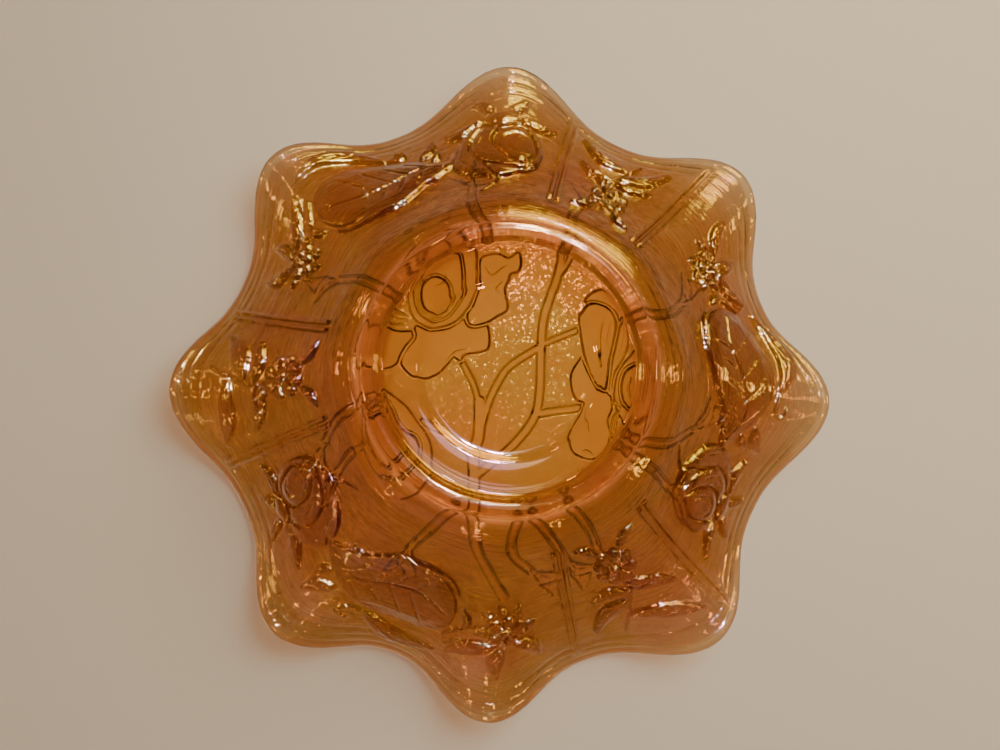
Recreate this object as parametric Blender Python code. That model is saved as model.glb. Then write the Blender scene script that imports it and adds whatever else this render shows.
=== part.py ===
"""Carnival glass bowl: a pressed glass bowl with a ruffled, eight-pointed rim on a collar foot.

Units are metres, +Z is up. The bowl stands on its foot ring. The origin is the centre of the
ring's resting plane, +Z is the bowl's axis and +X runs out through one of the rim's points.
"""

import math

import bmesh
import bpy
import numpy as np

MM = 0.001

# Collar foot: a plain ring with a slight draft, and the flat band that the bowl rests on.
# Inside, it rises steeply from the resting band to a bend, then slopes gently up to the base.
FOOT_OUTER_RADIUS = 47.0 * MM
FOOT_INNER_RADIUS = 42.0 * MM
FOOT_HEIGHT = 5.7 * MM
FOOT_DRAFT = 0.4 * MM
FOOT_EDGE = 0.8 * MM
SLOPE_BEND_RADIUS = 38.6 * MM
SLOPE_BEND_HEIGHT = 3.6 * MM
SLOPE_TOP_RADIUS = 28.5 * MM
SLOPE_TOP_EDGE = 0.3 * MM

# Base: a flat glass disc over the foot.
TOUCHING_GAP = 0.3 * MM
BASE_RADIUS = 42.0 * MM
BASE_THICKNESS = 5.0 * MM
FLOOR_RINGS = 3

# Wall: the length of glass from base to lip, and its slope above the horizontal on the way.
WALL_LENGTH = 80.5 * MM
WALL_THICKNESS = 4.2 * MM
WALL_SLOPE_STEEPEST = math.radians(50.0)
WALL_SLOPE_AT_LIP = math.radians(30.0)
WALL_TURN_SHARE = 0.22

# Ruffle: eight points bent outwards and down, eight valleys bent inwards and up.
RUFFLE_COUNT = 8
RUFFLE_BEND = math.radians(20.0)
RUFFLE_BEND_POWER = 2.0
RUFFLE_STRETCH = 3.0 * MM
RUFFLE_SHARPNESS = 0.14
# The rim was crimped by hand, so its points are not quite evenly spaced:
# times per turn, size and phase of each slow wander.
RUFFLE_WANDER = (
    (1, math.radians(2.9), math.radians(0.0)),
    (2, math.radians(1.1), math.radians(57.0)),
    (3, math.radians(1.1), math.radians(149.0)),
)

# Fineness of the solids.
AROUND = 96
WALL_ROWS = 12
LIP_STEPS = 4
PROFILE_STEPS = 240

GLASS_COLOUR = (0.62, 0.16, 0.012, 1.0)
FOOT_COLOUR = (0.52, 0.12, 0.01, 1.0)


def crimped(turn):
    """The angle round the bowl at which an evenly spaced ruffle's turn really lies."""
    return turn - sum(size * np.cos(count * turn + phase) for count, size, phase in RUFFLE_WANDER)


def ruffle(turn):
    """The rim's wave: 1 at a point, -1 in a valley, with narrow points and broad valleys."""
    wave = RUFFLE_COUNT * turn
    return np.cos(wave) + RUFFLE_SHARPNESS * (np.cos(2 * wave) - 1)


def smooth(share):
    share = np.clip(share, 0, 1)
    return share * share * (3 - 2 * share)


def wall_profile(wave, base_height):
    """Middle of the glass from base to lip, as arrays of radius and height."""
    share = np.linspace(0, 1, PROFILE_STEPS + 1)
    past_turn = np.clip((share - WALL_TURN_SHARE) / (1 - WALL_TURN_SHARE), 0, 1)
    slope = WALL_SLOPE_STEEPEST * smooth(share / WALL_TURN_SHARE)
    slope += (WALL_SLOPE_AT_LIP - WALL_SLOPE_STEEPEST) * past_turn
    slope -= RUFFLE_BEND * wave * share**RUFFLE_BEND_POWER
    step = (WALL_LENGTH + RUFFLE_STRETCH * wave) / PROFILE_STEPS
    middle = (slope[1:] + slope[:-1]) / 2
    radius = BASE_RADIUS + np.concatenate([[0], np.cumsum(np.cos(middle) * step)])
    height = base_height + np.concatenate([[0], np.cumsum(np.sin(middle) * step)])
    return radius, height


def middle_surface(base_height):
    """Grids of points, upward normals and outward tangents (rows from base to lip, columns
    around) of the middle of the wall's glass."""
    rows = np.linspace(0, PROFILE_STEPS, WALL_ROWS + 1).round().astype(int)

    def points(turn):
        radius, height = wall_profile(ruffle(turn), base_height)
        angle = crimped(turn)
        return np.stack([radius * math.cos(angle), radius * math.sin(angle), height], axis=1)

    nudge = 1e-4
    grid, normals, tangents = [], [], []
    for turn in even_turns():
        here = points(turn)
        across = points(turn + nudge) - points(turn - nudge)
        along = np.gradient(here, axis=0)
        normal = np.cross(along, across)
        grid.append(here[rows])
        normals.append(unit(normal)[rows])
        tangents.append(unit(along)[rows])
    return [np.swapaxes(np.array(part), 0, 1) for part in (grid, normals, tangents)]


def unit(vectors):
    return vectors / np.linalg.norm(vectors, axis=-1, keepdims=True)


def even_turns():
    return np.arange(AROUND) * 2 * math.pi / AROUND


def flat_ring(radius, height):
    angles = crimped(even_turns())
    return np.stack([radius * np.cos(angles), radius * np.sin(angles), np.full(AROUND, height)], axis=1)


def glass(name, colour):
    material = bpy.data.materials.new(name)
    material.use_nodes = True
    shader = material.node_tree.nodes["Principled BSDF"]
    shader.inputs["Base Color"].default_value = colour
    shader.inputs["Roughness"].default_value = 0.08
    shader.inputs["Metallic"].default_value = 0.0
    shader.inputs["Transmission Weight"].default_value = 0.6
    return material


def add_object(name, mesh_builder, colour):
    """A new object from a closed bmesh, shaded smooth except at real edges."""
    mesh = bpy.data.meshes.new(name)
    bmesh.ops.recalc_face_normals(mesh_builder, faces=mesh_builder.faces)
    mesh_builder.to_mesh(mesh)
    mesh_builder.free()
    mesh.materials.append(glass(name + "_glass", colour))
    mesh.shade_smooth()
    mesh.set_sharp_from_angle(angle=math.radians(50))
    built = bpy.data.objects.new(name, mesh)
    bpy.context.collection.objects.link(built)
    return built


def skin_rings(rings, first_pole, last_pole):
    """A closed bmesh through a run of rings, capped by a fan of faces at each end."""
    shape = bmesh.new()
    loops = [[shape.verts.new(point) for point in ring] for ring in rings]
    for lower, upper in zip(loops, loops[1:]):
        for column in range(AROUND):
            after = (column + 1) % AROUND
            shape.faces.new((lower[column], lower[after], upper[after], upper[column]))
    for pole, loop in ((first_pole, loops[0]), (last_pole, loops[-1])):
        tip = shape.verts.new(pole)
        for column in range(AROUND):
            shape.faces.new((tip, loop[column], loop[(column + 1) % AROUND]))
    return shape


def bowl_body():
    """Base disc and ruffled wall, one closed piece with a rounded lip."""
    underside = FOOT_HEIGHT + TOUCHING_GAP
    floor = underside + BASE_THICKNESS
    grid, normals, tangents = middle_surface((underside + floor) / 2)
    share = np.linspace(0, 1, WALL_ROWS + 1)
    # The glass thins from the base to the wall over the turn at the wall's foot.
    half = (BASE_THICKNESS + (WALL_THICKNESS - BASE_THICKNESS) * smooth(share / WALL_TURN_SHARE)) / 2
    disc = [BASE_RADIUS * ring / FLOOR_RINGS for ring in range(1, FLOOR_RINGS)]

    rings = [flat_ring(radius, floor) for radius in disc]
    rings += [grid[row] + normals[row] * half[row] for row in range(WALL_ROWS + 1)]
    for step in range(1, LIP_STEPS):
        turn = math.pi * step / LIP_STEPS
        rings.append(grid[-1] + half[-1] * (normals[-1] * math.cos(turn) + tangents[-1] * math.sin(turn)))
    rings += [grid[row] - normals[row] * half[row] for row in reversed(range(WALL_ROWS + 1))]
    rings += [flat_ring(radius, underside) for radius in reversed(disc)]
    return add_object("bowl_body", skin_rings(rings, (0, 0, floor), (0, 0, underside)), GLASS_COLOUR)


def foot_ring():
    """Collar foot: its section is spun about the bowl's axis."""
    outer, inner, edge = FOOT_OUTER_RADIUS, FOOT_INNER_RADIUS, FOOT_EDGE
    section = [
        (inner + edge, 0),
        (outer - edge, 0),
        (outer, edge),
        (outer + FOOT_DRAFT, FOOT_HEIGHT),
        (SLOPE_TOP_RADIUS, FOOT_HEIGHT),
        (SLOPE_TOP_RADIUS, FOOT_HEIGHT - SLOPE_TOP_EDGE),
        (SLOPE_BEND_RADIUS, SLOPE_BEND_HEIGHT),
        (inner - edge, edge),
    ]
    shape = bmesh.new()
    corners = [shape.verts.new((radius, 0, height)) for radius, height in section]
    edges = [shape.edges.new((corners[i], corners[(i + 1) % len(corners)])) for i in range(len(corners))]
    bmesh.ops.spin(
        shape, geom=corners + edges, cent=(0, 0, 0), axis=(0, 0, 1),
        angle=2 * math.pi, steps=AROUND, use_merge=True,
    )
    return add_object("foot_ring", shape, FOOT_COLOUR)


def main():
    for old in list(bpy.data.objects):
        bpy.data.objects.remove(old)
    foot_ring()
    bowl_body()


main()
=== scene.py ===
"""Looks of the carnival glass bowl: one continuous pressed glass piece around the CAD frame."""

import math

import bpy
import numpy as np
from mathutils import Matrix, Vector

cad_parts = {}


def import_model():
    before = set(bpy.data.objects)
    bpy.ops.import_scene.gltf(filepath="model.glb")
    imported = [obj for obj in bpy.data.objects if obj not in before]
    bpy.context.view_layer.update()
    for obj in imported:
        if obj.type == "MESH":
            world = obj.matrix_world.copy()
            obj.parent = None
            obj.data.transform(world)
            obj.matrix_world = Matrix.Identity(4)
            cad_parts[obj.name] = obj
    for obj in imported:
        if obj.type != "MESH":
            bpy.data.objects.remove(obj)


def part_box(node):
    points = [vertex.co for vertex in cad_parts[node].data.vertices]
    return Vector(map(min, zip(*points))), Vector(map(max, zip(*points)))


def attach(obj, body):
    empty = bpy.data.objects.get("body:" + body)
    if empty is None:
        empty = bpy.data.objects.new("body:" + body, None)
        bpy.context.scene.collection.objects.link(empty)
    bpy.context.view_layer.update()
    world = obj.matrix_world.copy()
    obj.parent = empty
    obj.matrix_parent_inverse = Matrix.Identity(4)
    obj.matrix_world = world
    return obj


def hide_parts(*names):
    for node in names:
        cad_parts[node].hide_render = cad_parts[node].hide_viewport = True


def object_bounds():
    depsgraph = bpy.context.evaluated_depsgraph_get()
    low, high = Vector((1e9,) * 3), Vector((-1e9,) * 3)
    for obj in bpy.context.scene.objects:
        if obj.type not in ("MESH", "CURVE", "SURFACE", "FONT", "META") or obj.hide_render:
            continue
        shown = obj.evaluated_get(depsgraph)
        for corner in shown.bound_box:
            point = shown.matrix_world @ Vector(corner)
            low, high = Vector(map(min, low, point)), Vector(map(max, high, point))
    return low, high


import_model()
CAD_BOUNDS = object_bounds()

MM = 0.001

# ---------------------------------------------------------------- form, in millimetres
FOOT_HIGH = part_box("foot_ring")[1]
BODY_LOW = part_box("bowl_body")[0]
FOOT_DRAFT = 0.4
FOOT_OUTER = FOOT_HIGH.x / MM - FOOT_DRAFT
# How far in from the foot's outer side the resting band starts and ends.
BAND_START, BAND_END = 1.7, 3.7
CREST_OUTER = FOOT_OUTER - BAND_START
CREST_INNER = FOOT_OUTER - BAND_END
UNDERSIDE = BODY_LOW.z / MM
# Radius and height inside the resting band: a steep side, a bend, a gentle slope and a low step.
RECESS = (
    (42.3, 0.3), (41.4, 1.3), (40.6, 2.7), (39.6, 3.6), (38.0, 3.85),
    (34.0, 4.25), (30.6, 4.6), (29.2, 4.85), (28.0, 5.5),
)
UNDERSIDE_EDGE = 27.0
BASE_THICKNESS = 5.0
FLOOR = UNDERSIDE + BASE_THICKNESS
BASE_RADIUS = 42.0

WALL_LENGTH = 80.5
WALL_THICKNESS = 4.2
WALL_SLOPE_STEEPEST = math.radians(50.0)
WALL_SLOPE_AT_LIP = math.radians(30.0)
WALL_TURN_SHARE = 0.22

RUFFLE_COUNT = 8
RUFFLE_BEND = math.radians(20.0)
RUFFLE_BEND_POWER = 2.0
RUFFLE_STRETCH = 3.0
RUFFLE_SHARPNESS = 0.14
RUFFLE_WANDER = (
    (1, math.radians(2.9), math.radians(0.0)),
    (2, math.radians(1.1), math.radians(57.0)),
    (3, math.radians(1.1), math.radians(149.0)),
)

# Fineness of the mesh.
AROUND = 1280
FLOOR_STEP = 0.28
UNDERSIDE_STEP = 1.2
WALL_STEP = 0.45
# Inside this radius a ring has half the points, and again at each halving, but never fewer than these.
CENTRE_RADIUS = 30.0
FEWEST_AROUND = AROUND // 8
PROFILE_STEPS = 320
LIP_STEPS = 10
# The small turn, in radians, over which the wall's direction is measured.
NUDGE = 1e-4


# ---------------------------------------------------------------- the bowl's form
def smooth(share):
    share = np.clip(share, 0, 1)
    return share * share * (3 - 2 * share)


def unit(vectors):
    return vectors / np.linalg.norm(vectors, axis=-1, keepdims=True)


def even_turns(count=AROUND):
    return np.arange(count) * 2 * math.pi / count


def crimped(turn):
    """The angle round the bowl at which an evenly spaced ruffle's turn really lies."""
    return turn - sum(size * np.cos(count * turn + phase) for count, size, phase in RUFFLE_WANDER)


def ruffle(turn):
    """The rim's wave: 1 at a point, -1 in a valley."""
    wave = RUFFLE_COUNT * turn
    return np.cos(wave) + RUFFLE_SHARPNESS * (np.cos(2 * wave) - 1)


def wall_profiles(turns):
    """Radius and height of the middle of the glass: rows from base to lip, one column per turn."""
    wave = ruffle(turns)[None, :]
    share = np.linspace(0, 1, PROFILE_STEPS + 1)[:, None]
    past_turn = np.clip((share - WALL_TURN_SHARE) / (1 - WALL_TURN_SHARE), 0, 1)
    slope = WALL_SLOPE_STEEPEST * smooth(share / WALL_TURN_SHARE)
    slope = slope + (WALL_SLOPE_AT_LIP - WALL_SLOPE_STEEPEST) * past_turn
    slope = slope - RUFFLE_BEND * wave * share**RUFFLE_BEND_POWER
    step = (WALL_LENGTH + RUFFLE_STRETCH * wave) / PROFILE_STEPS
    middle = (slope[1:] + slope[:-1]) / 2
    zero = np.zeros((1, len(turns)))
    radius = BASE_RADIUS + np.concatenate([zero, np.cumsum(np.cos(middle) * step, axis=0)])
    height = np.concatenate([zero, np.cumsum(np.sin(middle) * step, axis=0)])
    height = UNDERSIDE + BASE_THICKNESS / 2 + height
    return radius, height


def wall_points(turns):
    radius, height = wall_profiles(turns)
    angle = crimped(turns)[None, :]
    return np.stack([radius * np.cos(angle), radius * np.sin(angle), height], axis=-1)


def wall_surface():
    """Points, upward normals and outward tangents of the middle of the wall's glass."""
    turns = even_turns()
    points = wall_points(turns)
    across = wall_points(turns + NUDGE) - wall_points(turns - NUDGE)
    along = np.gradient(points, axis=0)
    return points, unit(np.cross(along, across)), unit(along)


def half_thickness(share):
    turned = smooth(share / WALL_TURN_SHARE)
    return (BASE_THICKNESS + (WALL_THICKNESS - BASE_THICKNESS) * turned) / 2


def circle(radius, height, count=AROUND):
    angles = crimped(even_turns(count))
    level = np.full(count, float(height))
    return np.stack([radius * np.cos(angles), radius * np.sin(angles), level], axis=-1)


# ---------------------------------------------------------------- relief tools
# The ornament is drawn flat, in millimetres, as it looks from below the foot: right is -X and up
# is +Y. Distance from the centre is measured along the glass, so one drawing runs from the floor
# up the wall.
INNER_EDGE, INNER_RISE = 1.15, 2.3
OUTER_EDGE, OUTER_RISE = 0.9, 2.8
MOAT_WIDTH = 0.9
# Shares of the height lost at the sides of a ridge, and by what lies under a moat.
CROWN_DROP = 0.35
MOAT_DEPTH = 0.75
# The shares of a groove's length past which it gets no shallower, and how suddenly it deepens.
GROOVE_ENDS = (0.06, 0.94)
GROOVE_FADE = 0.4


def smooth_curve(points, closed=False, per_span=6):
    """A Catmull-Rom curve through the points."""
    points = np.asarray(points, float)
    if closed:
        padded = np.concatenate([points[-1:], points, points[:2]])
    else:
        padded = np.concatenate([points[:1] * 2 - points[1:2], points, points[-1:] * 2 - points[-2:-1]])
    share = (np.arange(per_span) / per_span)[:, None]
    pieces = []
    for before, start, end, after in zip(padded, padded[1:], padded[2:], padded[3:]):
        piece = start + share * (end - before) / 2
        piece = piece + share**2 * (before - 2.5 * start + 2 * end - after / 2)
        pieces.append(piece + share**3 * (1.5 * (start - end) + (after - before) / 2))
    curve = np.concatenate(pieces)
    return curve if closed else np.concatenate([curve, points[-1:]])


def distance_to(x, y, curve, closed=False):
    """Distance of each point to a polyline, and how far along it, 0 to 1, the nearest place is."""
    starts = curve if closed else curve[:-1]
    ends = np.roll(curve, -1, axis=0) if closed else curve[1:]
    best = np.full(len(x), np.inf)
    along = np.zeros(len(x))
    for index, ((sx, sy), (ex, ey)) in enumerate(zip(starts, ends)):
        dx, dy = ex - sx, ey - sy
        share = np.clip(((x - sx) * dx + (y - sy) * dy) / max(dx * dx + dy * dy, 1e-9), 0, 1)
        square = (x - sx - share * dx) ** 2 + (y - sy - share * dy) ** 2
        nearer = square < best
        best[nearer] = square[nearer]
        along[nearer] = (index + share[nearer]) / len(starts)
    return np.sqrt(best), along


def inside_of(x, y, outline):
    """Which points lie inside a closed outline."""
    crossed = np.zeros(len(x), bool)
    for (sx, sy), (ex, ey) in zip(outline, np.roll(outline, -1, axis=0)):
        if sy != ey:
            crossed ^= ((sy > y) != (ey > y)) & (x < (ex - sx) * (y - sy) / (ey - sy) + sx)
    return crossed


class Relief:
    """Heights of a pressed pattern above the plain glass, and where the ground is left bare."""

    def __init__(self, x, y, edge, rise):
        self.x, self.y = x, y
        self.edge, self.rise = edge, rise
        self.height = np.zeros(len(x))
        self.ground = np.ones(len(x))

    def near(self, curve, reach):
        low, high = curve.min(axis=0) - reach, curve.max(axis=0) + reach
        inside = (self.x > low[0]) & (self.x < high[0]) & (self.y > low[1]) & (self.y < high[1])
        where = np.flatnonzero(inside)
        return where, self.x[where], self.y[where]

    def lift(self, where, height, cover):
        self.height[where] = np.maximum(self.height[where], height * self.rise)
        self.ground[where] = np.minimum(self.ground[where], 1 - cover)

    def ridge(self, points, width, height=0.6, tip=1.0):
        """A raised line with steep sides and a rounded top, narrowed by tip at its end."""
        curve = smooth_curve(points)
        where, x, y = self.near(curve, width)
        far, along = distance_to(x, y, curve)
        half = width / 2 * (1 + (tip - 1) * along)
        side = smooth((half - far) / self.edge + 0.5)
        crown = 1 - CROWN_DROP * np.clip(far / half, 0, 1) ** 2
        self.lift(where, height * side * crown, side)

    def groove(self, points, width=0.8, depth=0.3):
        curve = smooth_curve(points)
        where, x, y = self.near(curve, width)
        far, along = distance_to(x, y, curve)
        fade = np.sin(np.pi * np.clip(along, *GROOVE_ENDS)) ** GROOVE_FADE
        self.height[where] -= depth * self.rise * fade * smooth(1 - far / (width / 2))

    def petal(self, outline, height=0.6, dome=0.2, reach=3.0):
        """A raised petal: steep along its outline, crowned in its middle, and set off from what
        lies under it by a narrow moat."""
        curve = smooth_curve(outline, closed=True)
        where, x, y = self.near(curve, MOAT_WIDTH + self.edge)
        far, _ = distance_to(x, y, curve, closed=True)
        deep = np.where(inside_of(x, y, curve), far, -far)
        side = smooth(deep / self.edge + 0.5)
        moat = smooth(1 - np.abs(deep + self.edge / 2) / MOAT_WIDTH)
        self.height[where] *= 1 - MOAT_DEPTH * moat
        self.lift(where, side * (height + dome * smooth(deep / reach)), side)

    def boss(self, centre, radius, height):
        where, x, y = self.near(np.array([centre], float), radius)
        far = np.hypot(x - centre[0], y - centre[1]) / radius
        cap = np.sqrt(np.clip(1 - far**2, 0, 1))
        self.lift(where, height * cap, smooth(cap * 2))

    def leaf(self, base, tip, width, height=0.55, bend=0.12, veins=3):
        """A pointed leaf, bent sideways, with a middle groove and side veins."""
        base, tip = np.asarray(base, float), np.asarray(tip, float)
        length = np.linalg.norm(tip - base)
        ahead = (tip - base) / length
        side = np.array([-ahead[1], ahead[0]])

        def at(share, offset=0.0):
            sway = bend * length * math.sin(math.pi * share)
            return base + ahead * length * share + side * (sway + offset * width / 2)

        shape = ((0.0, 0.0), (0.15, 0.62), (0.4, 1.0), (0.7, 0.72), (1.0, 0.0))
        left = [at(share, wide) for share, wide in shape]
        right = [at(share, -wide) for share, wide in shape[-2:0:-1]]
        self.petal(left + right, height, reach=width / 2)
        self.groove([at(0.05), at(0.5), at(0.92)])
        for step in range(veins):
            share = 0.2 + 0.55 * step / max(veins - 1, 1)
            for way in (-0.62, 0.62):
                self.groove([at(share), at(share + 0.13, way)], 0.6, 0.16)

    def daisy(self, centre, petals, length, width, height=0.55, turn=0.0):
        """A round flower: striped petals about a boss."""
        centre = np.asarray(centre, float)
        shape = ((0.12, 0.3), (0.5, 0.85), (0.82, 1.0), (1.0, 0.0))
        for step in range(petals):
            angle = turn + 2 * math.pi * step / petals
            out = np.array([math.cos(angle), math.sin(angle)]) * length
            side = np.array([-out[1], out[0]]) / length * width / 2
            left = [centre + out * far + side * wide for far, wide in shape]
            right = [centre + out * far - side * wide for far, wide in shape[-2::-1]]
            self.petal(left + right, height, reach=width / 2)
            for way in (-0.42, 0.0, 0.42):
                start, end = centre + out * 0.25, centre + out * 0.85 + side * way
                self.groove([start, end], 0.6, 0.2)
        self.boss(centre, width * 0.42, height + 0.45)


def polar(degrees, distance):
    """A drawing point from its angle, counter-clockwise as seen from below, and its distance."""
    return distance * math.cos(math.radians(degrees)), distance * math.sin(math.radians(degrees))


# ---------------------------------------------------------------- ornament on the inside
STEM = 2.6
TWIG = 1.9


def draw_stems(art):
    main = [(17.5, 42), (15, 30), (11.2, 18), (10.4, 6), (10.3, -5), (8.8, -14.3), (2.3, -23.4), (-8.5, -33)]
    art.ridge(main, STEM)
    art.ridge([(16, 32), (18, 35), (20.5, 40)], TWIG)
    art.ridge([(10.5, 8.8), (16.5, 11.5), (23.5, 14.5)], TWIG)
    art.ridge([(10, 8), (4.5, 4.5), (0, 1), (-3.2, -4), (-6, -10.5), (-8.2, -19)], TWIG * 1.2)
    art.ridge([(-15.2, 3.5), (-13, -0.5), (-10.5, -5.5), (-8.8, -12)], TWIG)
    trunk = [(-8.8, -10), (-8.7, -20), (-10.3, -27), (-10, -34), (-9.8, -42)]
    art.ridge(trunk + [polar(261, 58), polar(266, 68), polar(271, 79)], STEM * 1.35)
    art.ridge([(9.5, -13.5), (15.5, -12.3), (24, -11)], STEM * 0.9)
    art.ridge([(-27, -17), (-19.5, -20.8), (-15.6, -22.8), (-11, -28)], TWIG)


def draw_open_rose(art):
    """The full rose: outer petals first, then the higher rings of its heart."""
    art.petal(
        [(-30, 11.5), (-32.5, 6), (-35.5, 1.5), (-39, -0.3), (-45, 0), (-48, 7), (-43, 13.5), (-36, 11.8)],
        0.5,
    )
    front = [(-7.5, 15.3), (-6.2, 11), (-6.5, 7.2), (-9, 5.9), (-13.7, 4.9), (-15.4, 3), (-17.5, 4)]
    front += [(-19.3, 1.8), (-22, -1.3), (-26, -3.1), (-30.2, -2.7), (-33, -0.5), (-34.2, 2), (-32.5, 6)]
    front += [(-29.9, 9.8), (-29.5, 14), (-20, 16), (-12, 16)]
    art.petal(front, 0.55, reach=5)
    art.groove([(-20, 1.8), (-17, 5.5), (-13, 6.6)])
    side = [(-10.1, 35.1), (-7.8, 37.4), (-3.9, 38), (-0.6, 36.8), (2.6, 38.7), (3.4, 35), (2.4, 32.5)]
    side += [(0, 31.5), (-1.6, 26.7), (-0.6, 20.2), (-3.9, 17.6), (-7.8, 15.3), (-13, 15.5), (-13, 26)]
    art.petal(side, 0.62, reach=4)
    art.groove([(-2.6, 30), (-4.2, 26.4), (-1, 23.6)], 0.9)
    art.groove([(-8.5, 34), (-6, 31), (-2.5, 33.5), (0, 34.5)], 0.9)
    cup = [(-33, 29), (-32.8, 22), (-30.5, 16), (-26, 13.6), (-20.8, 13.8), (-16.5, 16), (-12.8, 20.8)]
    art.petal(cup + [(-11.2, 26), (-10.8, 33), (-12.4, 41), (-22, 46), (-31, 40)], 0.78)
    inner = [(-29.8, 29.5), (-30, 24), (-28.6, 19), (-25.5, 16.7), (-21.5, 16.8), (-18.8, 18.8)]
    art.petal(inner + [(-16.6, 22.8), (-15.6, 27), (-15.8, 33), (-17.6, 39), (-23, 42), (-28.5, 36)], 1.0)
    heart = [(-28.5, 24), (-27.3, 19.8), (-24, 18.3), (-20.9, 20.2), (-19.5, 24), (-20.4, 28), (-24, 30)]
    art.petal(heart + [(-27.6, 28)], 1.2)
    art.groove([(-20.6, 31), (-21.4, 28.4), (-24.5, 26.6)], 0.8, 0.35)
    art.groove([(-30, 31), (-28.6, 28.6), (-27, 28)], 0.8, 0.35)
    for step in range(3):
        up = 2.4 * step
        art.groove([(-41 + up / 3, 15.5 + up), (-37, 14 + up), (-32.5, 14.2 + up / 2)], 0.9, 0.35)


def draw_side_rose(art):
    """The rose seen from its side: two petals, a closed bud, and the heart near the foot's edge."""
    low = [(25, 6.5), (22.1, 3.3), (20.2, -0.7), (20.5, -5.2), (22.1, -8.5), (24.6, -9.6), (24, -12.4)]
    low += [(21.8, -16.9), (20.3, -22.1), (21.5, -25.6), (24.7, -27.2), (28.4, -27.4), (32, -24)]
    low += [(33, -19), (32.2, -15), (33.6, -11), (33.2, -6), (31, 0), (28, 4)]
    art.petal(low, 0.5, reach=4)
    art.groove([(23.2, -26.6), (25.3, -24.8), (27.8, -26.2)], 0.9)
    art.groove([(25.6, -12), (25.8, -15), (26.2, -19.5)])
    top = [(24.5, 23.3), (27, 26.4), (30.5, 27.4), (34.5, 26), (38, 22), (39.6, 17.4), (36, 17), (33, 19)]
    art.petal(top + [(28, 20)], 0.62)
    back = [(37.6, 18), (38.9, 13.7), (38.2, 8.5), (36.2, 3.5), (34.6, -1), (33.3, -6.2), (32.4, -1)]
    art.petal(back + [(33.2, 6.5), (34.8, 13)], 0.72)
    art.groove([(37, 15.5), (36.3, 9), (34.2, 1.5)])
    bud = [(30.2, 22.1), (26, 22.6), (23.6, 19.5), (23.1, 15), (23.7, 9.1), (25, 3.9), (27.3, -0.7)]
    bud += [(29.6, -3.5), (31.4, -5), (32.2, -1), (32.6, 4.5), (33.8, 10.4), (34.6, 15.8), (33.4, 19.8)]
    art.petal(bud, 0.85, dome=0.3, reach=4)
    art.groove([(31.2, 20), (29.6, 13), (30.2, 5), (31.2, -2)], 0.9)
    art.groove([(33.2, 17), (32.2, 12), (32.2, 6)])
    art.petal([(43, 8), (36.2, 2), (34.2, -6), (35.8, -13), (40, -17), (45, -12), (46, -2)], 0.55)
    art.petal([(42, 3), (38, 1), (36.6, -4), (37.6, -9), (41, -11), (43.5, -6), (43.6, 0)], 0.95)
    art.groove([(39.6, -1), (39, -5), (40.5, -8)], 1.1, 0.5)
    art.ridge([(34.4, -9), (36.8, -11), (34.6, -14.5), (33.8, -20)], 1.3, 0.85)


def draw_low_rose(art):
    outer = [(-41, -7.4), (-35.8, -9.6), (-32, -12.6), (-29.4, -16), (-26.4, -19.8), (-24.2, -24)]
    art.petal(outer + [(-23.6, -29), (-25, -36), (-33, -42), (-44, -38), (-50, -26), (-48, -13)], 0.5)
    inner = [(-41, -10), (-37, -13.2), (-35.3, -17), (-32.3, -20.4), (-28.6, -22.6), (-28, -28)]
    art.petal(inner + [(-33, -34), (-41, -34), (-46, -24)], 0.85)
    heart = [(-41, -15), (-38.6, -18.6), (-35, -22.6), (-33.6, -27), (-37, -31), (-42.5, -28), (-44, -20)]
    art.petal(heart, 1.1)


# Stems that climb the inside of the wall: the angle of each at three distances out.
WALL_STEM_PLACES = (46, 60, 73)
WALL_STEMS = (
    (250, 245, 242), (275, 273, 280), (281, 287, 290), (296, 299, 299), (327, 328, 327), (333, 338, 347),
    (148, 149, 152), (194, 197, 203), (210, 209, 212), (66, 69, 67), (25, 22, 25), (100, 103, 101),
)


def draw_wall_stems(art):
    for angles in WALL_STEMS:
        stem = [polar(angle, distance) for angle, distance in zip(angles, WALL_STEM_PLACES)]
        art.ridge(stem, STEM * 1.15, 1.0, tip=0.8)
        end, before = np.array(stem[-1]), np.array(stem[-2])
        ahead = (end - before) / np.linalg.norm(end - before)
        side = np.array([-ahead[1], ahead[0]])
        art.leaf(end, end + ahead * 15, 7.0, bend=0.15)
        art.leaf(end - ahead * 2, end + ahead * 7 + side * 9, 5.0, bend=-0.2)


def inner_relief(x, y):
    art = Relief(x, y, INNER_EDGE, INNER_RISE)
    draw_stems(art)
    draw_wall_stems(art)
    draw_open_rose(art)
    draw_side_rose(art)
    draw_low_rose(art)
    return art.height, art.ground, np.zeros(len(x))


# ---------------------------------------------------------------- ornament on the outside
# One group of panels is repeated three times round the wall. It is drawn in its own flat strip,
# where right is the angle round the bowl, 40 to 160 degrees, and up is distance from the centre.
REPEATS = 3
STRIP_START = 40.0
STRIP_MIDDLE = 100.0
STRIP_SCALE = 1.54


def strip(*places):
    """Drawing points in the strip from pairs of degrees and distance."""
    return [(STRIP_SCALE * (degrees - STRIP_MIDDLE), distance) for degrees, distance in places]


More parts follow.
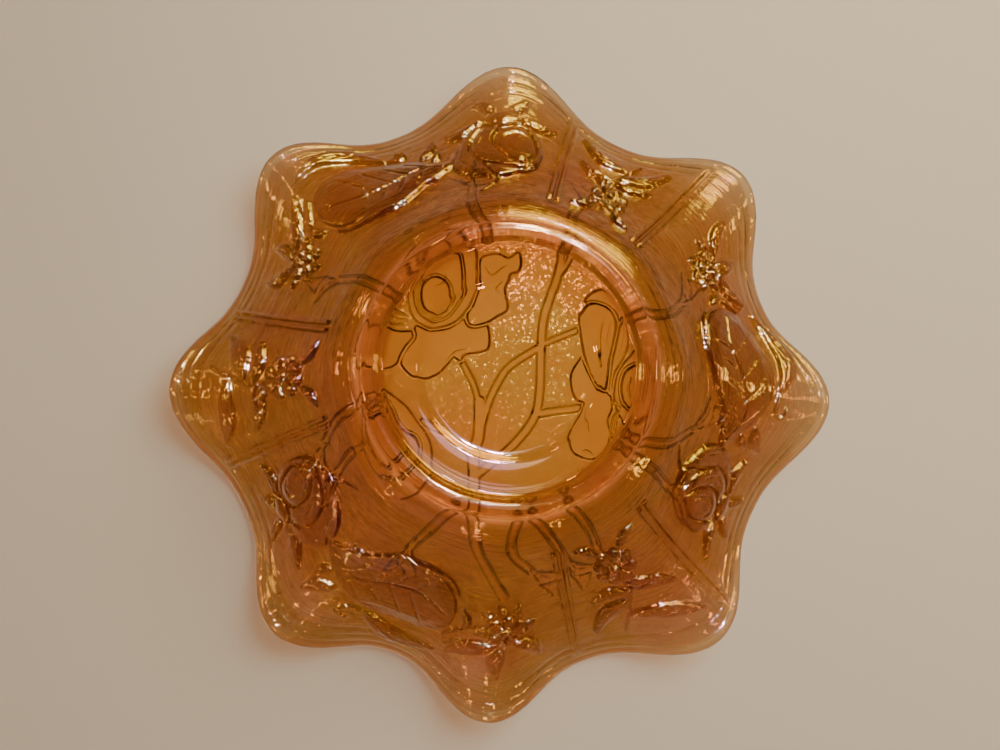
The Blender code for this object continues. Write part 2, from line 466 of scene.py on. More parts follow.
def draw_daisy_panel(art):
    art.ridge(strip((61.6, 84), (62.6, 91), (61.4, 98), (60, 104), (58.6, 110)), 1.1, 0.5)
    art.leaf(*strip((61.4, 95), (52, 109)), 6.6)
    art.leaf(*strip((62.4, 90), (72.6, 96)), 5.6, bend=-0.15)
    art.leaf(*strip((60.6, 102), (73.6, 111.5)), 6.0, bend=-0.12)
    art.leaf(*strip((62.2, 91), (52.6, 93)), 4.6)
    art.leaf(*strip((61.6, 84), (68.6, 89)), 4.0)
    art.daisy(*strip((61.5, 78)), 8, 8.8, 4.6, turn=0.3)
    art.leaf(*strip((58.5, 70), (51.5, 64)), 3.6)
    art.leaf(*strip((64.5, 70), (71.5, 64)), 3.6, bend=-0.12)


def draw_rose_panel(art):
    art.leaf(*strip((89, 101), (79.6, 102.5)), 4.4)
    art.leaf(*strip((91, 103), (86.6, 111)), 3.8)
    art.leaf(*strip((95, 102), (104.5, 103)), 4.8, bend=-0.15)
    art.leaf(*strip((93.5, 103), (97, 112)), 3.6)
    right = strip((95, 99), (100, 97.5), (104, 91), (104.8, 84), (103, 77.5), (98, 72.5), (93, 70))
    right += strip((96, 83))
    left = strip((94, 98.5), (87, 98), (83, 93), (82.2, 85), (83.6, 77.5), (87.5, 72.5), (94, 70.5))
    left += strip((97, 84))
    middle = strip((93.5, 97), (97, 95.5), (99, 89), (98, 82.5), (94.5, 77), (88, 74.5), (86, 77))
    middle += strip((89, 88))
    heart = strip((86.5, 94), (90.5, 95.5), (93.2, 91.5), (93, 85), (90.4, 79.5), (86.8, 77), (84.3, 84))
    for height, outline in ((0.45, right), (0.6, left), (0.78, middle), (0.95, heart)):
        art.petal(outline, height)
    art.groove(strip((86.5, 90), (88.5, 92), (91, 90), (90.8, 85), (88.6, 81)), 0.9, 0.35)
    art.groove(strip((95.6, 93), (96.8, 88), (95, 82)), 0.9)
    art.groove(strip((101.5, 94), (102.8, 86), (100.5, 78)), 0.9)
    art.groove(strip((84.6, 91), (83.8, 85), (85.4, 79)))
    art.petal(strip((88, 100.5), (91.5, 104), (95.4, 101), (93.6, 97.6), (90, 97.6)), 0.7)
    art.ridge(strip((93, 70), (95.5, 66), (99.5, 62.5)), 1.0, 0.35, tip=0.4)


def draw_leaf_panel(art):
    blade = ((104.5, 85.5), (109, 91), (114, 97), (120, 101.5), (127, 103.5), (134, 102), (138, 98))
    blade += ((140, 90), (139, 82), (136, 76.5), (131, 73.5), (125, 72.5), (119, 75), (114, 79))
    art.petal(strip(*blade, (109, 81.5)), 0.5, dome=0.3, reach=6)
    art.groove(strip((106.5, 84.5), (114, 88.5), (122, 86), (130, 85), (138, 90)), 1.3, 0.42)
    for step in range(4):
        base = 111 + 5.4 * step
        art.groove(strip((base, 87.5 - 0.5 * step), (base + 5, 95.5 + 1.2 * step)), 0.9)
        art.groove(strip((base + 1, 87 - 0.5 * step), (base + 4.5, 80 - 1.0 * step)), 0.9)
    fold = ((110, 79.5), (113, 79.4), (117, 76), (122, 73), (130, 72.5), (137, 75.5), (139.5, 80))
    art.ridge(strip(*fold), 1.2, 0.75)
    art.leaf(*strip((119.5, 104), (137.5, 109.5)), 7.5, bend=0.22)
    art.ridge(strip((119, 104), (115.8, 103), (114.6, 106), (116.6, 107.6)), 1.2, 0.5)
    art.leaf(*strip((112, 97), (107, 106)), 4.6)
    art.leaf(*strip((109.5, 92), (107, 98.5)), 3.2)


def draw_spray_panel(art):
    art.ridge(strip((138.5, 100), (141, 95), (145, 90.6), (148.5, 90)), 1.2, 0.55)
    art.ridge(strip((139, 103.5), (142, 99), (147, 95), (152, 94)), 1.0, 0.5)
    centre = np.array(strip((151.4, 90.4))[0])
    for way in (165, 215, 255, 300, 360):
        out = np.array([math.cos(math.radians(way)), math.sin(math.radians(way))])
        art.leaf(centre, centre + 10.5 * out, 4.6, bend=0.1)
    art.daisy(centre, 5, 6.0, 4.2, 0.7, turn=1.2)
    art.leaf(*strip((150, 96), (139.5, 107)), 5.0)
    art.leaf(*strip((151, 97), (150, 109)), 4.8)
    art.leaf(*strip((153, 96), (158.5, 106.5)), 4.8, bend=-0.15)
    art.leaf(*strip((143, 93), (141.5, 85)), 3.2)


RIB_ANGLES = (47.0, 76.7)
RIB_HEIGHT = 1.15
RIB_HALF_WIDTH = 0.8
RIB_SPREAD = 1.4
PANELS_START = 60.5
PANELS_END = 118.5
# Lengths over which the ribs rise at their start and sink at their end.
RIB_RISE, RIB_SINK = 1.2, 2


def ribs(degrees, distance):
    """Double ribs between the panels, running to the rim."""
    height = np.zeros(len(degrees))
    for rib in RIB_ANGLES:
        across = np.radians(degrees - rib) * distance
        for line in (-RIB_SPREAD, RIB_SPREAD):
            edge = (RIB_HALF_WIDTH - np.abs(across - line)) / OUTER_EDGE
            height = np.maximum(height, smooth(edge + 0.5))
    ends = smooth((distance - PANELS_START) / RIB_RISE) * smooth((PANELS_END - distance) / RIB_SINK)
    return RIB_HEIGHT * height * ends


# Distance out, width and depth of the shallow lines round the rim.
RIM_LINES = ((120.4, 1.6, 0.8), (117.0, 1.4, 0.6), (113.4, 1.3, 0.4))
# The lines' mean share of that depth, and how much more or less it is at a point or in a valley.
RIM_LINE_MEAN, RIM_LINE_SWING = 0.65, 0.35


def rim_lines(degrees, distance):
    """Depth of the lines round the rim, deepest at the rim's points."""
    share = RIM_LINE_MEAN + RIM_LINE_SWING * np.cos(RUFFLE_COUNT * np.radians(degrees))
    depth = np.zeros(len(degrees))
    for place, width, deep in RIM_LINES:
        depth += deep * share * smooth(1 - np.abs(distance - place) / (width / 2))
    return depth


def outer_relief(x, y):
    degrees, distance = np.degrees(np.arctan2(y, x)), np.hypot(x, y)
    local = (degrees - STRIP_START) % (360.0 / REPEATS) + STRIP_START
    art = Relief(STRIP_SCALE * (local - STRIP_MIDDLE), distance, OUTER_EDGE, OUTER_RISE)
    draw_daisy_panel(art)
    draw_rose_panel(art)
    draw_leaf_panel(art)
    draw_spray_panel(art)
    height = np.maximum(art.height, ribs(local, distance))
    return height - rim_lines(degrees, distance), np.zeros(len(x)), 1 - art.ground


# ---------------------------------------------------------------- mesh
COVE_SHARE = 0.10
COVE_STEPS = 10
COVE_START_HEIGHT = 3.6
# How far the tint's distance runs along the cove.
COVE_REACH = 7
# How far outside the foot's outer side the cove ends, and where the corner that bends it lies.
COVE_CLEARANCE = 0.2
CORNER_CLEARANCE = 0.25
# The least inward share of the wall's downward run that the corner is worked out with.
LEAST_INWARD = 0.1
ROLL_STEPS = 6


class Row:
    """One ring of vertices, with where its ground is stippled, where a motif thickens it, and its
    distance out along the glass."""

    def __init__(self, points, reach=0.0, stipple=0.0, motif=0.0):
        self.points = points
        self.reach = np.full(len(points), float(reach))
        self.stipple = np.broadcast_to(np.asarray(stipple, float), len(points))
        self.motif = np.broadcast_to(np.asarray(motif, float), len(points))


def disc_columns(radius):
    """How many points a ring of this radius needs: fewer towards the centre."""
    count = AROUND
    limit = CENTRE_RADIUS
    while radius < limit and count > FEWEST_AROUND:
        count //= 2
        limit /= 2
    return count


def drawn_place(angles, reach):
    """Place on the flat drawing: seen from below, so right is -X."""
    return -reach * np.cos(angles), reach * np.sin(angles)


def raised(points, normals, angles, reaches, relief):
    """Rows of points with a relief added along their normals."""
    sizes = [len(row) for row in points]
    x, y = drawn_place(np.concatenate(angles), np.repeat(reaches, sizes))
    cuts = np.cumsum(sizes)[:-1]
    heights, stipples, motifs = (np.split(values, cuts) for values in relief(x, y))
    rows = []
    for row, normal, reach, height, stipple, motif in zip(
        points, normals, reaches, heights, stipples, motifs
    ):
        rows.append(Row(row + height[:, None] * normal, reach, stipple, motif))
    return rows


def inner_rows():
    """Floor and inner wall, from the centre out."""
    points, normals, angles, reaches = [], [], [], []
    for radius in np.arange(FLOOR_STEP, BASE_RADIUS - FLOOR_STEP / 2, FLOOR_STEP):
        count = disc_columns(radius)
        points.append(circle(radius, FLOOR, count))
        normals.append(np.array([0.0, 0.0, 1.0]))
        angles.append(crimped(even_turns(count)))
        reaches.append(radius)
    wall, wall_normals, _ = wall_surface()
    for share in np.linspace(0, 1, int(WALL_LENGTH / WALL_STEP) + 1):
        row = int(round(share * PROFILE_STEPS))
        points.append(wall[row] + half_thickness(share) * wall_normals[row])
        normals.append(wall_normals[row])
        angles.append(crimped(even_turns()))
        reaches.append(BASE_RADIUS + share * WALL_LENGTH)
    return raised(points, normals, angles, reaches, inner_relief)


def lip_rows():
    points, normals, tangents = wall_surface()
    half = half_thickness(1.0)
    rows = []
    for step in range(1, LIP_STEPS):
        turn = math.pi * step / LIP_STEPS
        out = normals[-1] * math.cos(turn) + tangents[-1] * math.sin(turn)
        rows.append(Row(points[-1] + half * out, BASE_RADIUS + WALL_LENGTH))
    return rows


def outer_rows():
    """Outer wall from the lip down to the cove above the foot."""
    wall, wall_normals, _ = wall_surface()
    points, normals, angles, reaches = [], [], [], []
    for share in np.linspace(1, COVE_SHARE, int(WALL_LENGTH * (1 - COVE_SHARE) / WALL_STEP) + 1):
        row = int(round(share * PROFILE_STEPS))
        points.append(wall[row] - half_thickness(share) * wall_normals[row])
        normals.append(-wall_normals[row])
        angles.append(crimped(even_turns()))
        reaches.append(BASE_RADIUS + share * WALL_LENGTH)
    return raised(points, normals, angles, reaches, outer_relief)


def cove_rows():
    """The concave curve that joins the wall to the foot ring."""
    points, normals, tangents = wall_surface()
    row = int(round(COVE_SHARE * PROFILE_STEPS))
    start = points[row] - half_thickness(COVE_SHARE) * normals[row]
    down = -tangents[row]
    end = circle(FOOT_OUTER + COVE_CLEARANCE, COVE_START_HEIGHT)
    radial = np.hypot(start[:, 0], start[:, 1])
    inward = -(down * unit(start * [1, 1, 0])).sum(axis=1)
    reach = (radial - FOOT_OUTER - CORNER_CLEARANCE) / np.maximum(inward, LEAST_INWARD)
    corner = start + down * reach[:, None]
    rows = []
    for step in range(1, COVE_STEPS + 1):
        t = step / COVE_STEPS
        curve = (1 - t) ** 2 * start + 2 * t * (1 - t) * corner + t * t * end
        rows.append(Row(curve, BASE_RADIUS + COVE_REACH * (1 - t)))
    return rows


def foot_rows():
    """Foot ring below the cove: round outer edge, resting band, steep inner side and recess."""
    roll = FOOT_OUTER - CREST_OUTER
    section = []
    for step in range(ROLL_STEPS + 1):
        turn = math.pi / 2 * step / ROLL_STEPS
        section.append((CREST_OUTER + roll * math.cos(turn), roll - roll * math.sin(turn)))
    recess = [(CREST_INNER, 0), *RECESS, (UNDERSIDE_EDGE, UNDERSIDE)]
    section += smooth_curve(recess, per_span=4).tolist()
    rows = []
    for radius, height in section:
        rows.append(Row(circle(radius, min(max(height, 0), UNDERSIDE)), radius))
    return rows


def underside_rows():
    last = UNDERSIDE_EDGE - UNDERSIDE_STEP / 2
    radii = np.arange(UNDERSIDE_STEP, last, UNDERSIDE_STEP)[::-1]
    rows = []
    count = AROUND
    for radius in radii:
        count = max(disc_columns(radius), count // 2)
        rows.append(Row(circle(radius, UNDERSIDE, count), radius))
    return rows


def stitch(counts):
    """Faces between consecutive rings of vertices, where a ring may have half its neighbour's points."""
    faces = []
    start = 0
    for here, there in zip(counts, counts[1:]):
        a, b = start, start + here
        i = np.arange(min(here, there))
        j = (i + 1) % min(here, there)
        if here == there:
            faces.append(np.stack([a + i, b + i, b + j, a + j], axis=1))
        elif there == 2 * here:
            left, mid, right = b + 2 * i, b + 2 * i + 1, b + (2 * i + 2) % there
            faces.append(np.stack([a + i, left, mid], axis=1))
            faces.append(np.stack([a + i, mid, right, a + j], axis=1))
        elif here == 2 * there:
            left, mid, right = a + 2 * i, a + 2 * i + 1, a + (2 * i + 2) % here
            faces.append(np.stack([b + i, mid, left], axis=1))
            faces.append(np.stack([b + i, b + j, right, mid], axis=1))
        else:
            raise ValueError("neighbouring rings do not match")
        start += here
    return faces


def add_attribute(mesh, name, values):
    layer = mesh.attributes.new(name, "FLOAT", "POINT")
    layer.data.foreach_set("value", np.asarray(values, np.float32))


def build_mesh(name, rows):
    """A closed surface through the rows, with a point at the centre of each end."""
    counts = [len(row.points) for row in rows]
    total = sum(counts)
    poles = np.array([[0, 0, FLOOR], [0, 0, UNDERSIDE]], float)
    vertices = np.concatenate([row.points for row in rows] + [poles]) * MM
    faces = [face for group in stitch(counts) for face in group.tolist()]
    first, last = counts[0], counts[-1]
    faces += [[total, i, (i + 1) % first] for i in range(first)]
    offset = total - last
    faces += [[total + 1, offset + (i + 1) % last, offset + i] for i in range(last)]
    mesh = bpy.data.meshes.new(name)
    mesh.from_pydata(vertices.tolist(), [], faces)
    mesh.shade_smooth()
    for attribute in ("reach", "stipple", "motif"):
        values = [getattr(row, attribute) for row in rows]
        add_attribute(mesh, attribute, np.concatenate(values + [[0, 0]]))
    return mesh


def glass_bowl():
    rows = inner_rows() + lip_rows() + outer_rows() + cove_rows() + foot_rows() + underside_rows()
    mesh = build_mesh("pressed_glass_bowl", rows)
    bowl = bpy.data.objects.new("pressed_glass_bowl", mesh)
    bpy.context.scene.collection.objects.link(bowl)
    return bowl


# ---------------------------------------------------------------- materials
class Tree:
    """The node tree of a material or a world, with short ways to add and link nodes."""

    def __init__(self, owner):
        owner.use_nodes = True
        self.nodes = owner.node_tree.nodes
        self.links = owner.node_tree.links
        self.nodes.clear()

    def add(self, kind, inputs=None, **settings):
        node = self.nodes.new(kind)
        for name, value in settings.items():
            setattr(node, name, value)
        for name, value in (inputs or {}).items():
            if isinstance(value, bpy.types.NodeSocket):
                self.links.new(value, node.inputs[name])
            else:
                node.inputs[name].default_value = value
        return node

    def math(self, operation, first, second=0.0):
        node = self.add("ShaderNodeMath", {0: first, 1: second}, operation=operation)
        return node.outputs[0]

    def sum_of(self, value, factor, other):
        """value * factor + other."""
        node = self.add("ShaderNodeMath", {0: value, 1: factor, 2: other}, operation="MULTIPLY_ADD")
        return node.outputs[0]

    def between(self, value, low, high, start=0.0, end=1.0):
        """start where the value is low, end where it is high, and a straight run between them."""
        limits = {"Value": value, "From Min": low, "From Max": high, "To Min": start, "To Max": end}
        return self.add("ShaderNodeMapRange", limits).outputs[0]

    def times(self, colour, other):
        node = self.add("ShaderNodeVectorMath", {0: colour, 1: other}, operation="MULTIPLY")
        return node.outputs[0]

    def attribute(self, name):
        return self.add("ShaderNodeAttribute", attribute_name=name).outputs["Fac"]

    def ramp(self, factor, *stops):
        node = self.add("ShaderNodeValToRGB", {"Fac": factor})
        elements = node.color_ramp.elements
        while len(elements) < len(stops):
            elements.new(1.0)
        for element, (place, colour) in zip(elements, stops):
            element.position = place
            element.color = (*colour, 1)
        return node.outputs["Color"]

    def bump(self, height, distance, strength, normal=None):
        inputs = {"Height": height, "Distance": distance, "Strength": strength}
        if normal is not None:
            inputs["Normal"] = normal
        return self.add("ShaderNodeBump", inputs).outputs["Normal"]


REACH_LIMIT = 125.0
# Colour that each pass through the surfaces keeps, by distance out along the glass in millimetres.
TINT_STOPS = (
    (0, (1.0, 0.79, 0.27)),
    (38, (1.0, 0.73, 0.23)),
    (41.5, (0.76, 0.41, 0.20)),
    (43, (0.90, 0.56, 0.36)),
    (46.5, (0.90, 0.55, 0.38)),
    (49, (0.61, 0.33, 0.14)),
    (80, (0.68, 0.40, 0.18)),
    (104, (0.75, 0.46, 0.25)),
    (116, (0.73, 0.47, 0.26)),
    (120, (0.72, 0.47, 0.27)),
    (122, (0.82, 0.60, 0.38)),
)
# Tint of the motifs: the darkening is painted shade for the light the relief turns away inside the glass,
# and the purple is the lustre's colour.
MOTIF_SHADE_AND_LUSTRE_TINT = (0.76, 0.57, 0.60)
GLASS_ROUGHNESS = 0.03
GLASS_IOR = 1.52
GLASS_DEPTH_TINT = (0.86, 0.62, 0.14, 1)
GLASS_DEPTH = 125.0
# What each surface keeps of the lamps' light that falls straight through the bowl.
LAMP_TINT = (0.80, 0.61, 0.49, 1)
PLAIN = (1.0, 1.0, 1.0)
# Paler, bluer patches near the rim, brighter than plain glass: a painted sheen for the lilac reflection off
# the lustre.
PAINTED_SHEEN_PATCH = (1.08, 1.28, 1.75)
PAINTED_SHEEN_STOPS = ((0.40, PLAIN), (0.62, PAINTED_SHEEN_PATCH))
STREAK_STOPS = ((0.12, PLAIN), (0.22, (0.92, 0.86, 0.8)), (0.34, (1.1, 1.16, 1.2)))
# Depth in metres and strength of the fine lines and of the ripples in the surface.
MARK_DEPTH, MARK_STRENGTH = 0.0006, 0.35
RIPPLE_DEPTH, RIPPLE_STRENGTH = 0.0008, 0.45
# How fine the noises are: the lines by the millimetre, the others by the metre.
MARK_SCALE, WEAR_SCALE, RIPPLE_SCALE, PATCH_SCALE = 1.3, 70.0, 230.0, 26.0
# Where, by distance out, the turning marks, the ripples and the paler patches of painted sheen set in.
TURNED = (36.0, 42.0)
RIPPLED = (47.0, 53.0)
PALER = (85.0, 110.0)
STIPPLE_SIZE = 0.65
STIPPLE_TILT = 0.24
# Colours of the sprayed lustre, from its thin places to its thick ones.
SPRAY_STOPS = (
    (0.30, (1.0, 0.70, 0.32)),
    (0.45, (0.95, 0.92, 0.55)),
    (0.55, (0.72, 0.95, 0.70)),
    (0.64, (0.95, 0.72, 0.62)),
    (0.76, (0.85, 0.52, 0.84)),
)
# The film's thickness in nanometres, and the values of the patches between which it grows.
THINNEST_FILM, THICKEST_FILM = 250.0, 325.0
FILM_PATCHES = (0.3, 0.75)
FILM_IOR = 1.75
# Share and roughness of the sprayed lustre on plain glass, and what the stipple, the motifs and a
# slanting view add.
LUSTRE_SHARE, STIPPLE_SHARE, MOTIF_SHARE, SLANT_SHARE = 0.02, 0.3, 0.09, 0.14
LUSTRE_ROUGHNESS, STIPPLE_ROUGHNESS = 0.1, 0.03
SLANT_BLEND = 0.25
# How much the stipple's facets differ in colour.
STIPPLE_COLOURS = 0.16


def turning_marks(tree, place):
    """Fine lines round the wall and foot left by the turning of the mould."""
    reach = tree.attribute("reach")
    inputs = {"W": reach, "Scale": MARK_SCALE, "Detail": 2.0}
    lines = tree.add("ShaderNodeTexNoise", inputs, noise_dimensions="1D")
    worn = tree.add("ShaderNodeTexNoise", {"Vector": place, "Scale": WEAR_SCALE, "Detail": 2.0})
    broken = tree.math("MULTIPLY", lines.outputs["Fac"], worn.outputs["Fac"])
    return tree.math("MULTIPLY", broken, tree.between(reach, *TURNED))


def facet_normal(tree, cells, normal, amount):
    """Normal of the small tilted faces that cover the stippled ground."""
    tilt = tree.add("ShaderNodeVectorMath", {0: cells, 1: (0.5, 0.5, 0.5)}, operation="SUBTRACT")
    scaled = tree.add("ShaderNodeVectorMath", {0: tilt.outputs[0], "Scale": amount}, operation="SCALE")
    total = tree.add("ShaderNodeVectorMath", {0: scaled.outputs[0], 1: normal}, operation="ADD")
    return tree.add("ShaderNodeVectorMath", {0: total.outputs[0]}, operation="NORMALIZE").outputs[0]


def lustre(tree, place, patches, marked):
    """The metallic spray: its own reflection, broken up where the ground is stippled."""
    stipple = tree.attribute("stipple")
    voronoi = tree.add("ShaderNodeTexVoronoi", {"Vector": place, "Scale": 1 / (MM * STIPPLE_SIZE)})
    cell = voronoi.outputs["Color"]
    normal = facet_normal(tree, cell, marked, tree.math("MULTIPLY", stipple, STIPPLE_TILT))
    mixed = tree.sum_of(tree.math("MULTIPLY", cell, stipple), STIPPLE_COLOURS, patches)
    colour = tree.ramp(mixed, *SPRAY_STOPS)
    roughness = tree.sum_of(stipple, STIPPLE_ROUGHNESS, LUSTRE_ROUGHNESS)
    inputs = {"Color": colour, "Roughness": roughness, "Normal": normal}
    shine = tree.add("ShaderNodeBsdfAnisotropic", inputs)
    weight = tree.add("ShaderNodeLayerWeight", {"Blend": SLANT_BLEND, "Normal": marked}).outputs["Fresnel"]
    share = tree.sum_of(stipple, STIPPLE_SHARE, LUSTRE_SHARE)
    share = tree.sum_of(tree.attribute("motif"), MOTIF_SHARE, share)
    return tree.sum_of(weight, SLANT_SHARE, share), shine.outputs[0]


def glass_tint(tree, reach, marks, patches):
    """Amber by distance out and streaked by the turning marks. Deeper and purpler in the motifs, where the
    darkening is painted shade; paler and bluer in soft patches near the rim, a painted sheen."""
    share = tree.math("DIVIDE", reach, REACH_LIMIT)
    tint = tree.ramp(share, *[(distance / REACH_LIMIT, colour) for distance, colour in TINT_STOPS])
    tint = tree.times(tint, tree.ramp(marks, *STREAK_STOPS))
    # Painted shade: the motifs are darkened, and turned purple by the lustre's colour.
    tint = tree.times(tint, tree.ramp(tree.attribute("motif"), (0.0, PLAIN), (1.0, MOTIF_SHADE_AND_LUSTRE_TINT)))
    # Painted sheen: in patches near the rim the glass turns paler and bluer.
    outer = tree.math("MULTIPLY", tree.between(reach, *PALER), patches)
    return tree.times(tint, tree.ramp(outer, *PAINTED_SHEEN_STOPS))


def glass_material():
    material = bpy.data.materials.new("marigold_glass")
    tree = Tree(material)
    place = tree.add("ShaderNodeTexCoord").outputs["Object"]
    reach = tree.attribute("reach")
    marks = turning_marks(tree, place)
    ripples = tree.add("ShaderNodeTexNoise", {"Vector": place, "Scale": RIPPLE_SCALE, "Detail": 1.0})
    waves = tree.math("MULTIPLY", ripples.outputs["Fac"], tree.between(reach, *RIPPLED))
    rippled = tree.bump(waves, RIPPLE_DEPTH, RIPPLE_STRENGTH)
    marked = tree.bump(marks, MARK_DEPTH, MARK_STRENGTH, rippled)
    noise = tree.add("ShaderNodeTexNoise", {"Vector": place, "Scale": PATCH_SCALE, "Detail": 3.0})
    patches = noise.outputs["Fac"]
    film = tree.between(patches, *FILM_PATCHES, THINNEST_FILM, THICKEST_FILM)
    tint = glass_tint(tree, reach, marks, patches)
    glass = tree.add(
        "ShaderNodeBsdfPrincipled",
        {
            "Base Color": tint,
            "Roughness": GLASS_ROUGHNESS,
            "IOR": GLASS_IOR,
            "Transmission Weight": 1.0,
            "Thin Film Thickness": film,
            "Thin Film IOR": FILM_IOR,
            "Normal": marked,
        },
    )
    share, shine = lustre(tree, place, patches, marked)
    coated = tree.add("ShaderNodeMixShader", {"Fac": share, 1: glass.outputs[0], 2: shine})
    lamp = tree.add("ShaderNodeBsdfTransparent", {"Color": LAMP_TINT})
    shadow = tree.add("ShaderNodeLightPath").outputs["Is Shadow Ray"]
    mix = tree.add("ShaderNodeMixShader", {"Fac": shadow, 1: coated.outputs[0], 2: lamp.outputs[0]})
    depth = tree.add("ShaderNodeVolumeAbsorption", {"Color": GLASS_DEPTH_TINT, "Density": GLASS_DEPTH})
    tree.add("ShaderNodeOutputMaterial", {"Surface": mix.outputs[0], "Volume": depth.outputs[0]})
    return material


MATT_ROUGHNESS = 0.6


def one_sided_material(name, colour):
    """Matt surface seen from its front only: from behind it lets everything through."""
    material = bpy.data.materials.new(name)
    tree = Tree(material)
    matt = tree.add("ShaderNodeBsdfPrincipled", {"Base Color": colour, "Roughness": MATT_ROUGHNESS})
    clear = tree.add("ShaderNodeBsdfTransparent")
    side = tree.add("ShaderNodeNewGeometry").outputs["Backfacing"]
    mix = tree.add("ShaderNodeMixShader", {"Fac": side, 1: matt.outputs[0], 2: clear.outputs[0]})
    tree.add("ShaderNodeOutputMaterial", {"Surface": mix.outputs[0]})
    return material


# ---------------------------------------------------------------- stage
# The camera's place and aim in millimetres, its roll in radians, its lens and sensor in millimetres,
# and the distances in metres between which it sees.
CAMERA_PLACE = (19.8, -56.5, -428.5)
CAMERA_AIM = (0.9, 3.75, 50.0)
CAMERA_ROLL = 0.024
FOCAL_LENGTH = 50.0
SENSOR_WIDTH = 36.0
NEAREST, FARTHEST = 0.01, 10.0
# Colours of the light round the bowl from low to high. The stops run between the two limits, which are
# heights of a direction: -1 is straight down and 1 straight up.
ROOM = (0.05, 0.036, 0.024)
STUDIO_LOW = (0.13, 0.095, 0.06)
STUDIO = (0.60, 0.55, 0.49)
SKY_LIMITS = (-0.2, 0.8)
SKY_STOPS = ((0.0, ROOM), (0.25, STUDIO_LOW), (0.55, STUDIO_LOW), (0.95, STUDIO))
# Colours of the stage and of the lamps.
PALE = (0.64, 0.54, 0.41, 1)
BACKDROP_COLOUR = (0.40, 0.36, 0.31)
WARM = (1.0, 0.90, 0.78)
GOLDEN = (1.0, 0.60, 0.12)
ROSY = (1.0, 0.66, 0.52)
LIME = (0.92, 1.0, 0.66)
YELLOW = (1.0, 0.80, 0.06)
EMBER = (1.0, 0.38, 0.06)
# The table lies this far above the CAD rim and the floor this far below the foot, in metres.
TABLE_GAP, TABLE_HALF_SIZE = 0.0003, 1.2
FLOOR_GAP, FLOOR_HALF_SIZE = 0.0002, 6.0
BACKDROP_RADIUS, BACKDROP_HEIGHT, BACKDROP_SIDES = 5.5, 3.0, 64
BOWL_MIDDLE = (0, 0, 0.03)
# Lamps below the bowl that show as highlights on the glass: the turn, slant and distance of the place,
# then size, power and colour.
GLINTS = (
    ("lamp_left", (78, 23, 0.80), (0.04, 0.04), 2.2, WARM),
    ("lamp_right", (66, 24, 0.80), (0.04, 0.04), 2.2, WARM),
    ("lamp_far", (84, 40, 0.90), (0.12, 0.05), 2.5, WARM),
    ("strip_0", (67, 45, 0.92), (0.45, 0.05), 0.9, YELLOW),
    ("strip_1", (67, 51, 0.92), (0.60, 0.06), 1.5, YELLOW),
    ("strip_2", (67, 57, 0.92), (0.75, 0.08), 2.6, YELLOW),
    ("strip_3", (67, 64, 0.92), (0.65, 0.07), 1.5, YELLOW),
    ("strip_4", (67, 71, 0.92), (0.45, 0.05), 0.8, YELLOW),
    ("strip_white", (60, 57, 0.92), (0.22, 0.012), 0.4, WARM),
    ("lamp_west", (172, 76, 1.0), (0.12, 0.08), 0.8, GOLDEN),
    ("lamp_east", (8, 76, 1.0), (0.12, 0.08), 0.8, GOLDEN),
    ("lamp_glare", (71, 20, 0.85), (0.16, 0.2), 0.32, LIME),
)
BOUNCE = ("bounce", (235, 65, 1.2), (0.9, 0.5), 0.4, ROSY)
# Lamps that light the matt planes only: place, aim, size, power and colour.
FILLS = (
    ("fill_below", (-0.7, 0.5, -1.0), BOWL_MIDDLE, (1.1, 1.1), 28.5, WARM),
    ("table_glow", (0, 0, 0.012), (0, 0, 0.06), (0.09, 0.09), 0.02, EMBER),
    ("key_above", (0.5, -0.6, 1.0), BOWL_MIDDLE, (0.6, 0.6), 10, WARM),
)
# A ring of sparks round the bowl, each turned on from the last and at a slant of its own.
SPARKS = 8
SPARK_START, SPARK_TURN = 112, 37
SPARK_LOW, SPARK_STEP, SPARK_SPAN = 42, 17, 28
SPARK_DISTANCE, SPARK_SIZE, SPARK_POWER = 0.9, (0.05, 0.05), 0.35


def stage_plane(name, height, half_size, faces_up, material):
    s, z = half_size, height
    corners = [(-s, -s, z), (s, -s, z), (s, s, z), (-s, s, z)]
    order = (0, 1, 2, 3) if faces_up else (3, 2, 1, 0)
    mesh = bpy.data.meshes.new(name)
    mesh.from_pydata(corners, [], [order])
    mesh.materials.append(material)
    plane = bpy.data.objects.new(name, mesh)
    bpy.context.scene.collection.objects.link(plane)
    plane.visible_shadow = False
    plane.visible_diffuse = False
    plane.visible_glossy = False


def backdrop(radius, height, colour):
    """A plain pale wall round the floor, seen by the camera and through the glass only."""
    corners = []
    for step in range(BACKDROP_SIDES):
        turn = 2 * math.pi * step / BACKDROP_SIDES
        x, y = radius * math.cos(turn), radius * math.sin(turn)
        corners += [(x, y, 0.0), (x, y, height)]
    faces = []
    for step in range(BACKDROP_SIDES):
        low, next_low = 2 * step, 2 * ((step + 1) % BACKDROP_SIDES)
        faces.append((low, low + 1, next_low + 1, next_low))
    mesh = bpy.data.meshes.new("backdrop")
    mesh.from_pydata(corners, [], faces)
    material = bpy.data.materials.new("backdrop_paint")
    tree = Tree(material)
    glow = tree.add("ShaderNodeEmission", {"Color": (*colour, 1), "Strength": 1.0})
    tree.add("ShaderNodeOutputMaterial", {"Surface": glow.outputs[0]})
    mesh.materials.append(material)
    wall = bpy.data.objects.new("backdrop", mesh)
    bpy.context.scene.collection.objects.link(wall)
    wall.visible_shadow = False
    wall.visible_diffuse = False
    wall.visible_glossy = False


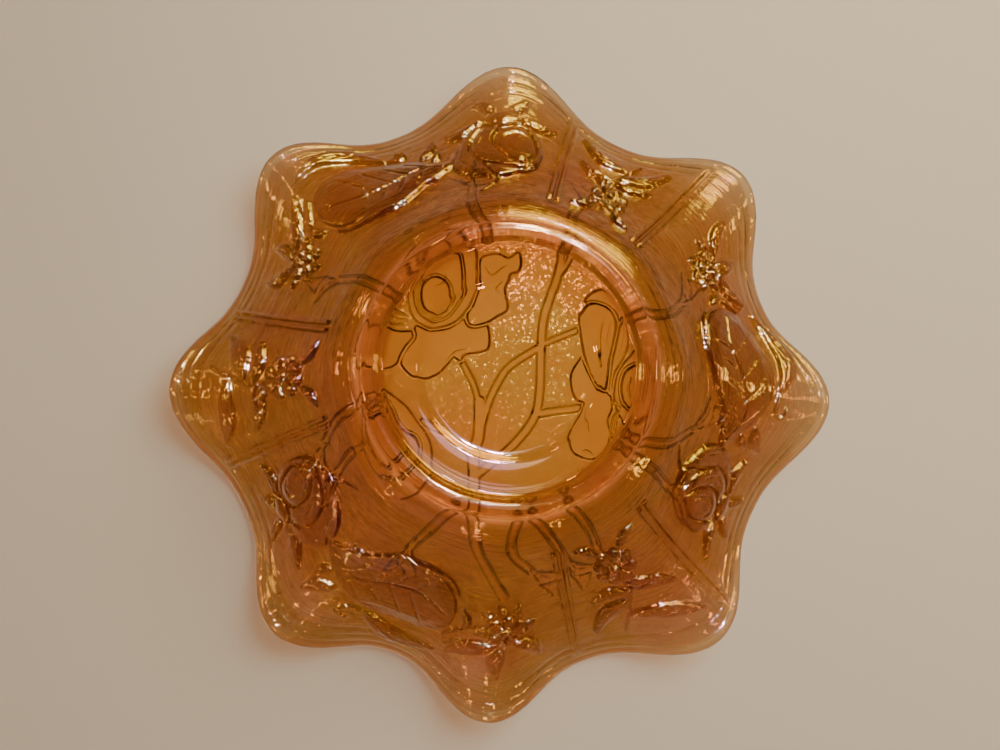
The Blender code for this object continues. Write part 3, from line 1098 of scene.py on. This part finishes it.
def area_light(name, place, aim, size, power, colour, seen_in_glass=True):
    """A lamp that either shows as highlights on the glass or lights the matt surfaces."""
    light = bpy.data.lights.new(name, "AREA")
    light.shape = "RECTANGLE"
    light.size, light.size_y = size
    light.energy = power
    light.color = colour
    lamp = bpy.data.objects.new(name, light)
    bpy.context.scene.collection.objects.link(lamp)
    lamp.location = place
    lamp.rotation_mode = "QUATERNION"
    lamp.rotation_quaternion = (Vector(aim) - Vector(place)).to_track_quat("-Z", "Y")
    lamp.visible_transmission = seen_in_glass
    lamp.visible_glossy = seen_in_glass
    lamp.visible_diffuse = not seen_in_glass
    lamp.visible_camera = False


def look_from(place, aim, up, roll):
    forward = (Vector(aim) - Vector(place)).normalized()
    right = forward.cross(Vector(up)).normalized()
    upward = right.cross(forward)
    turned_right = right * math.cos(roll) + upward * math.sin(roll)
    turned_up = upward * math.cos(roll) - right * math.sin(roll)
    return Matrix((turned_right, turned_up, -forward)).transposed().to_quaternion()


def camera():
    data = bpy.data.cameras.new("camera")
    data.lens = FOCAL_LENGTH
    data.sensor_width = SENSOR_WIDTH
    data.clip_start, data.clip_end = NEAREST, FARTHEST
    shot = bpy.data.objects.new("camera", data)
    bpy.context.scene.collection.objects.link(shot)
    place, aim = Vector(CAMERA_PLACE) * MM, Vector(CAMERA_AIM) * MM
    shot.location = place
    shot.rotation_mode = "QUATERNION"
    shot.rotation_quaternion = look_from(place, aim, (0, 1, 0), CAMERA_ROLL)
    bpy.context.scene.camera = shot


def world():
    """A soft pale studio above the bowl, and a dim room below it."""
    sky = bpy.data.worlds.new("studio")
    tree = Tree(sky)
    place = tree.add("ShaderNodeTexCoord").outputs["Generated"]
    up = tree.add("ShaderNodeSeparateXYZ", {0: place}).outputs["Z"]
    light = tree.ramp(tree.between(up, *SKY_LIMITS), *SKY_STOPS)
    back = tree.add("ShaderNodeBackground", {"Color": light, "Strength": 1.0})
    tree.add("ShaderNodeOutputWorld", {"Surface": back.outputs[0]})
    bpy.context.scene.world = sky


def aside(turn, slant, distance):
    """A place below the bowl: turn is counter-clockwise as seen from there, slant is off its axis."""
    turn, slant = math.radians(turn), math.radians(slant)
    side = distance * math.sin(slant)
    return -side * math.cos(turn), side * math.sin(turn), -distance * math.cos(slant)


def glint(name, place, size, power, colour):
    """A lamp below the bowl, aimed at its middle."""
    area_light(name, aside(*place), BOWL_MIDDLE, size, power, colour)


def lamps():
    """The lamps seen in the glass, then those that light the matt planes."""
    for settings in GLINTS:
        glint(*settings)
    for number in range(SPARKS):
        turn = SPARK_START + SPARK_TURN * number
        slant = SPARK_LOW + SPARK_STEP * number % SPARK_SPAN
        glint(f"spark_{number}", (turn, slant, SPARK_DISTANCE), SPARK_SIZE, SPARK_POWER, GOLDEN)
    glint(*BOUNCE)
    for settings in FILLS:
        area_light(*settings, seen_in_glass=False)


camera()
world()
bowl = glass_bowl()
bowl.data.materials.append(glass_material())
# The planes take no light bounced or bent by the bowl: it would stain them orange.
bowl.visible_diffuse = False
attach(bowl, "root")
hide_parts("foot_ring", "bowl_body")

table_paint = one_sided_material("table_paint", PALE)
stage_plane("table", CAD_BOUNDS[1].z + TABLE_GAP, TABLE_HALF_SIZE, False, table_paint)
stage_plane("floor", -FLOOR_GAP, FLOOR_HALF_SIZE, True, one_sided_material("floor_paint", PALE))
backdrop(BACKDROP_RADIUS, BACKDROP_HEIGHT, BACKDROP_COLOUR)
lamps()
